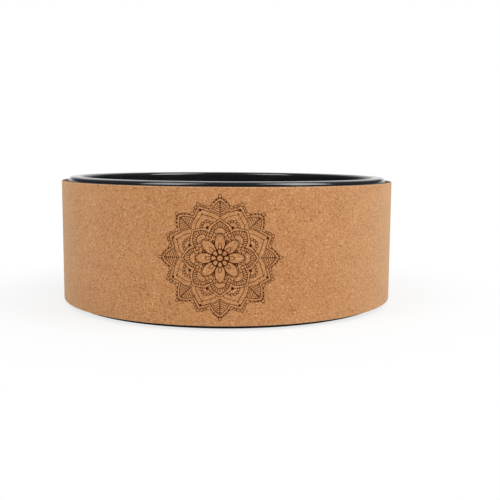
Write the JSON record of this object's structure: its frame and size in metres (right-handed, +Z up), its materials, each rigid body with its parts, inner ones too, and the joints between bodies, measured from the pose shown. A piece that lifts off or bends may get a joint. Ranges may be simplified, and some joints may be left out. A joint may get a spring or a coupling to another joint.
{
  "type": "yoga wheel",
  "caption": "Yoga wheel: a hollow black moulded hoop with rounded rims, wrapped in foam and a cork band with a printed mandala, for the back to rest and roll on.",
  "frame": {"origin": "on the wheel's axis, at the flat land of the lower rim, with the wheel lying flat", "axes": "+Z up along the wheel's axis; -Y towards the printed front of the cork; +X to the right seen from the front"},
  "size_m": [0.32, 0.32, 0.12],
  "materials": {
    "hoop": "glossy black moulded ABS",
    "cork": "sanded agglomerated cork",
    "print": "dark brown screen print",
    "foam": "charcoal closed-cell foam",
    "tape": "clear adhesive film",
    "cement": "cured solvent cement"
  },
  "bodies": {
    "root": {"lower_hoop_half": "hoop", "upper_hoop_half": "hoop", "outer_wall_cement": "cement", "inner_wall_cement": "cement", "hoop_tape": "tape", "foam_underlay": "foam", "cork_tape": "tape", "cork_cover": "cork"}
  },
  "joints": []
}
